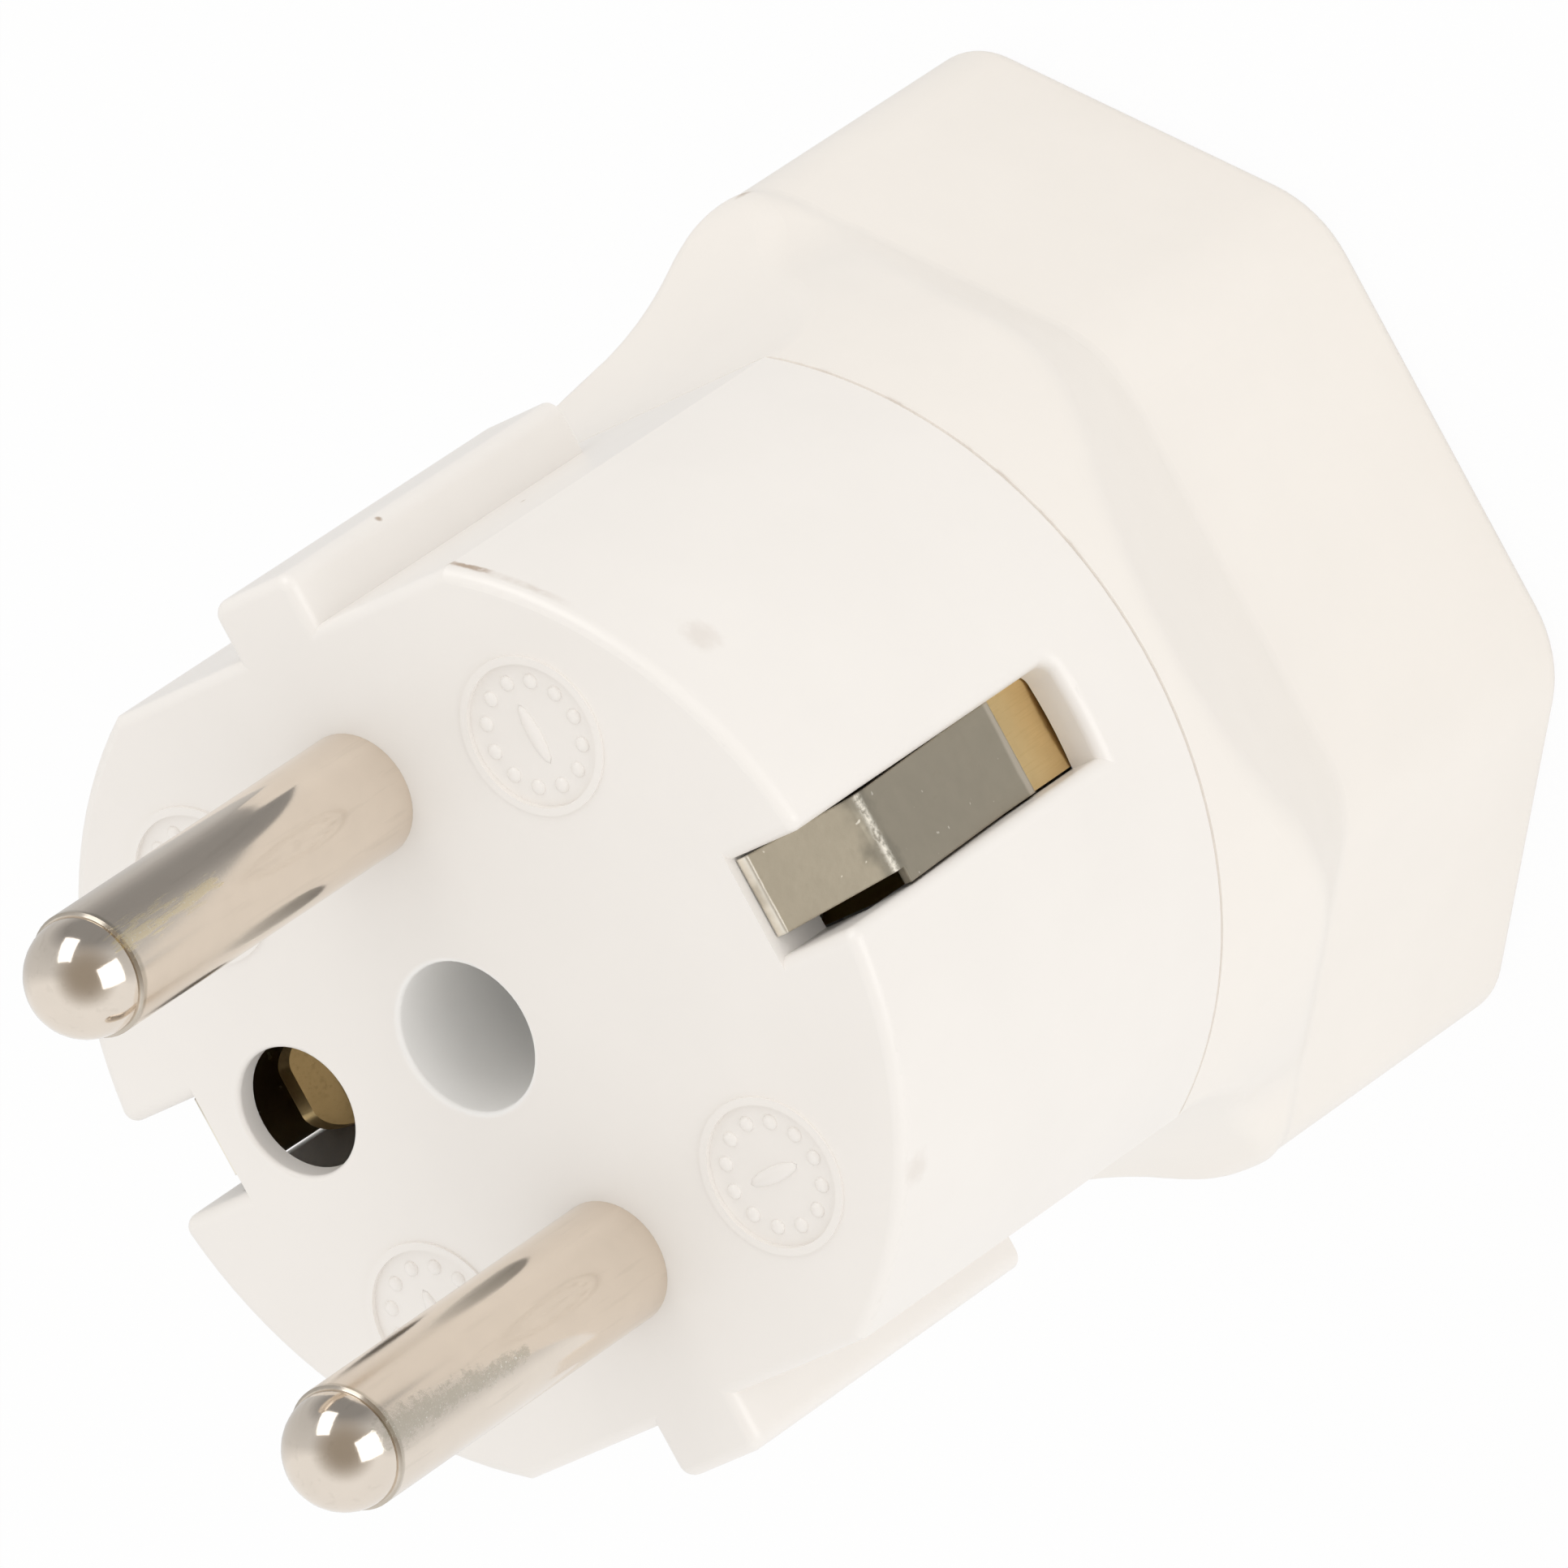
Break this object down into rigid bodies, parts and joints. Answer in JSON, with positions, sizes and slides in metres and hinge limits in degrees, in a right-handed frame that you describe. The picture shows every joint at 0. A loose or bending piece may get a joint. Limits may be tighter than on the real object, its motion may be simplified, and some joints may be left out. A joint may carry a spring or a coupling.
{
  "type": "travel plug adapter",
  "caption": "White travel adapter: round earthed plug with round pins, side earth clips and an earth hole, and a recessed hexagonal socket in its flared head.",
  "frame": {"origin": "centre of the socket rim, on the plane that the part stands on", "axes": "+Z from the socket rim towards the pin tips, +X along the pin line, +Y towards the plug's earth hole"},
  "size_m": [0.0404, 0.0356, 0.0675],
  "materials": {
    "head_plastic": "satin white, slightly warm",
    "plug_plastic": "satin white",
    "pin_nickel": "nickel plated, polished, lightly streaked",
    "clip_nickel": "nickel plated, dull and scratched",
    "contact_brass": "bare brass",
    "spring_steel": "spring steel",
    "screw_steel": "zinc plated"
  },
  "bodies": {
    "root": {"rear_housing": "head_plastic", "socket_plate": "head_plastic", "plug_body": "plug_plastic", "line_pin": "pin_nickel", "neutral_pin": "pin_nickel", "line_sleeve": "contact_brass", "neutral_sleeve": "contact_brass", "line_spring_ring": "spring_steel", "neutral_spring_ring": "spring_steel", "earth_bridge": "contact_brass", "earth_clip_near": "clip_nickel", "earth_clip_far": "clip_nickel", "earth_leaf": "contact_brass", "earth_channel": "contact_brass", "leaf_rivet": "contact_brass", "channel_rivet": "contact_brass", "assembly_screw": "screw_steel"}
  },
  "joints": []
}
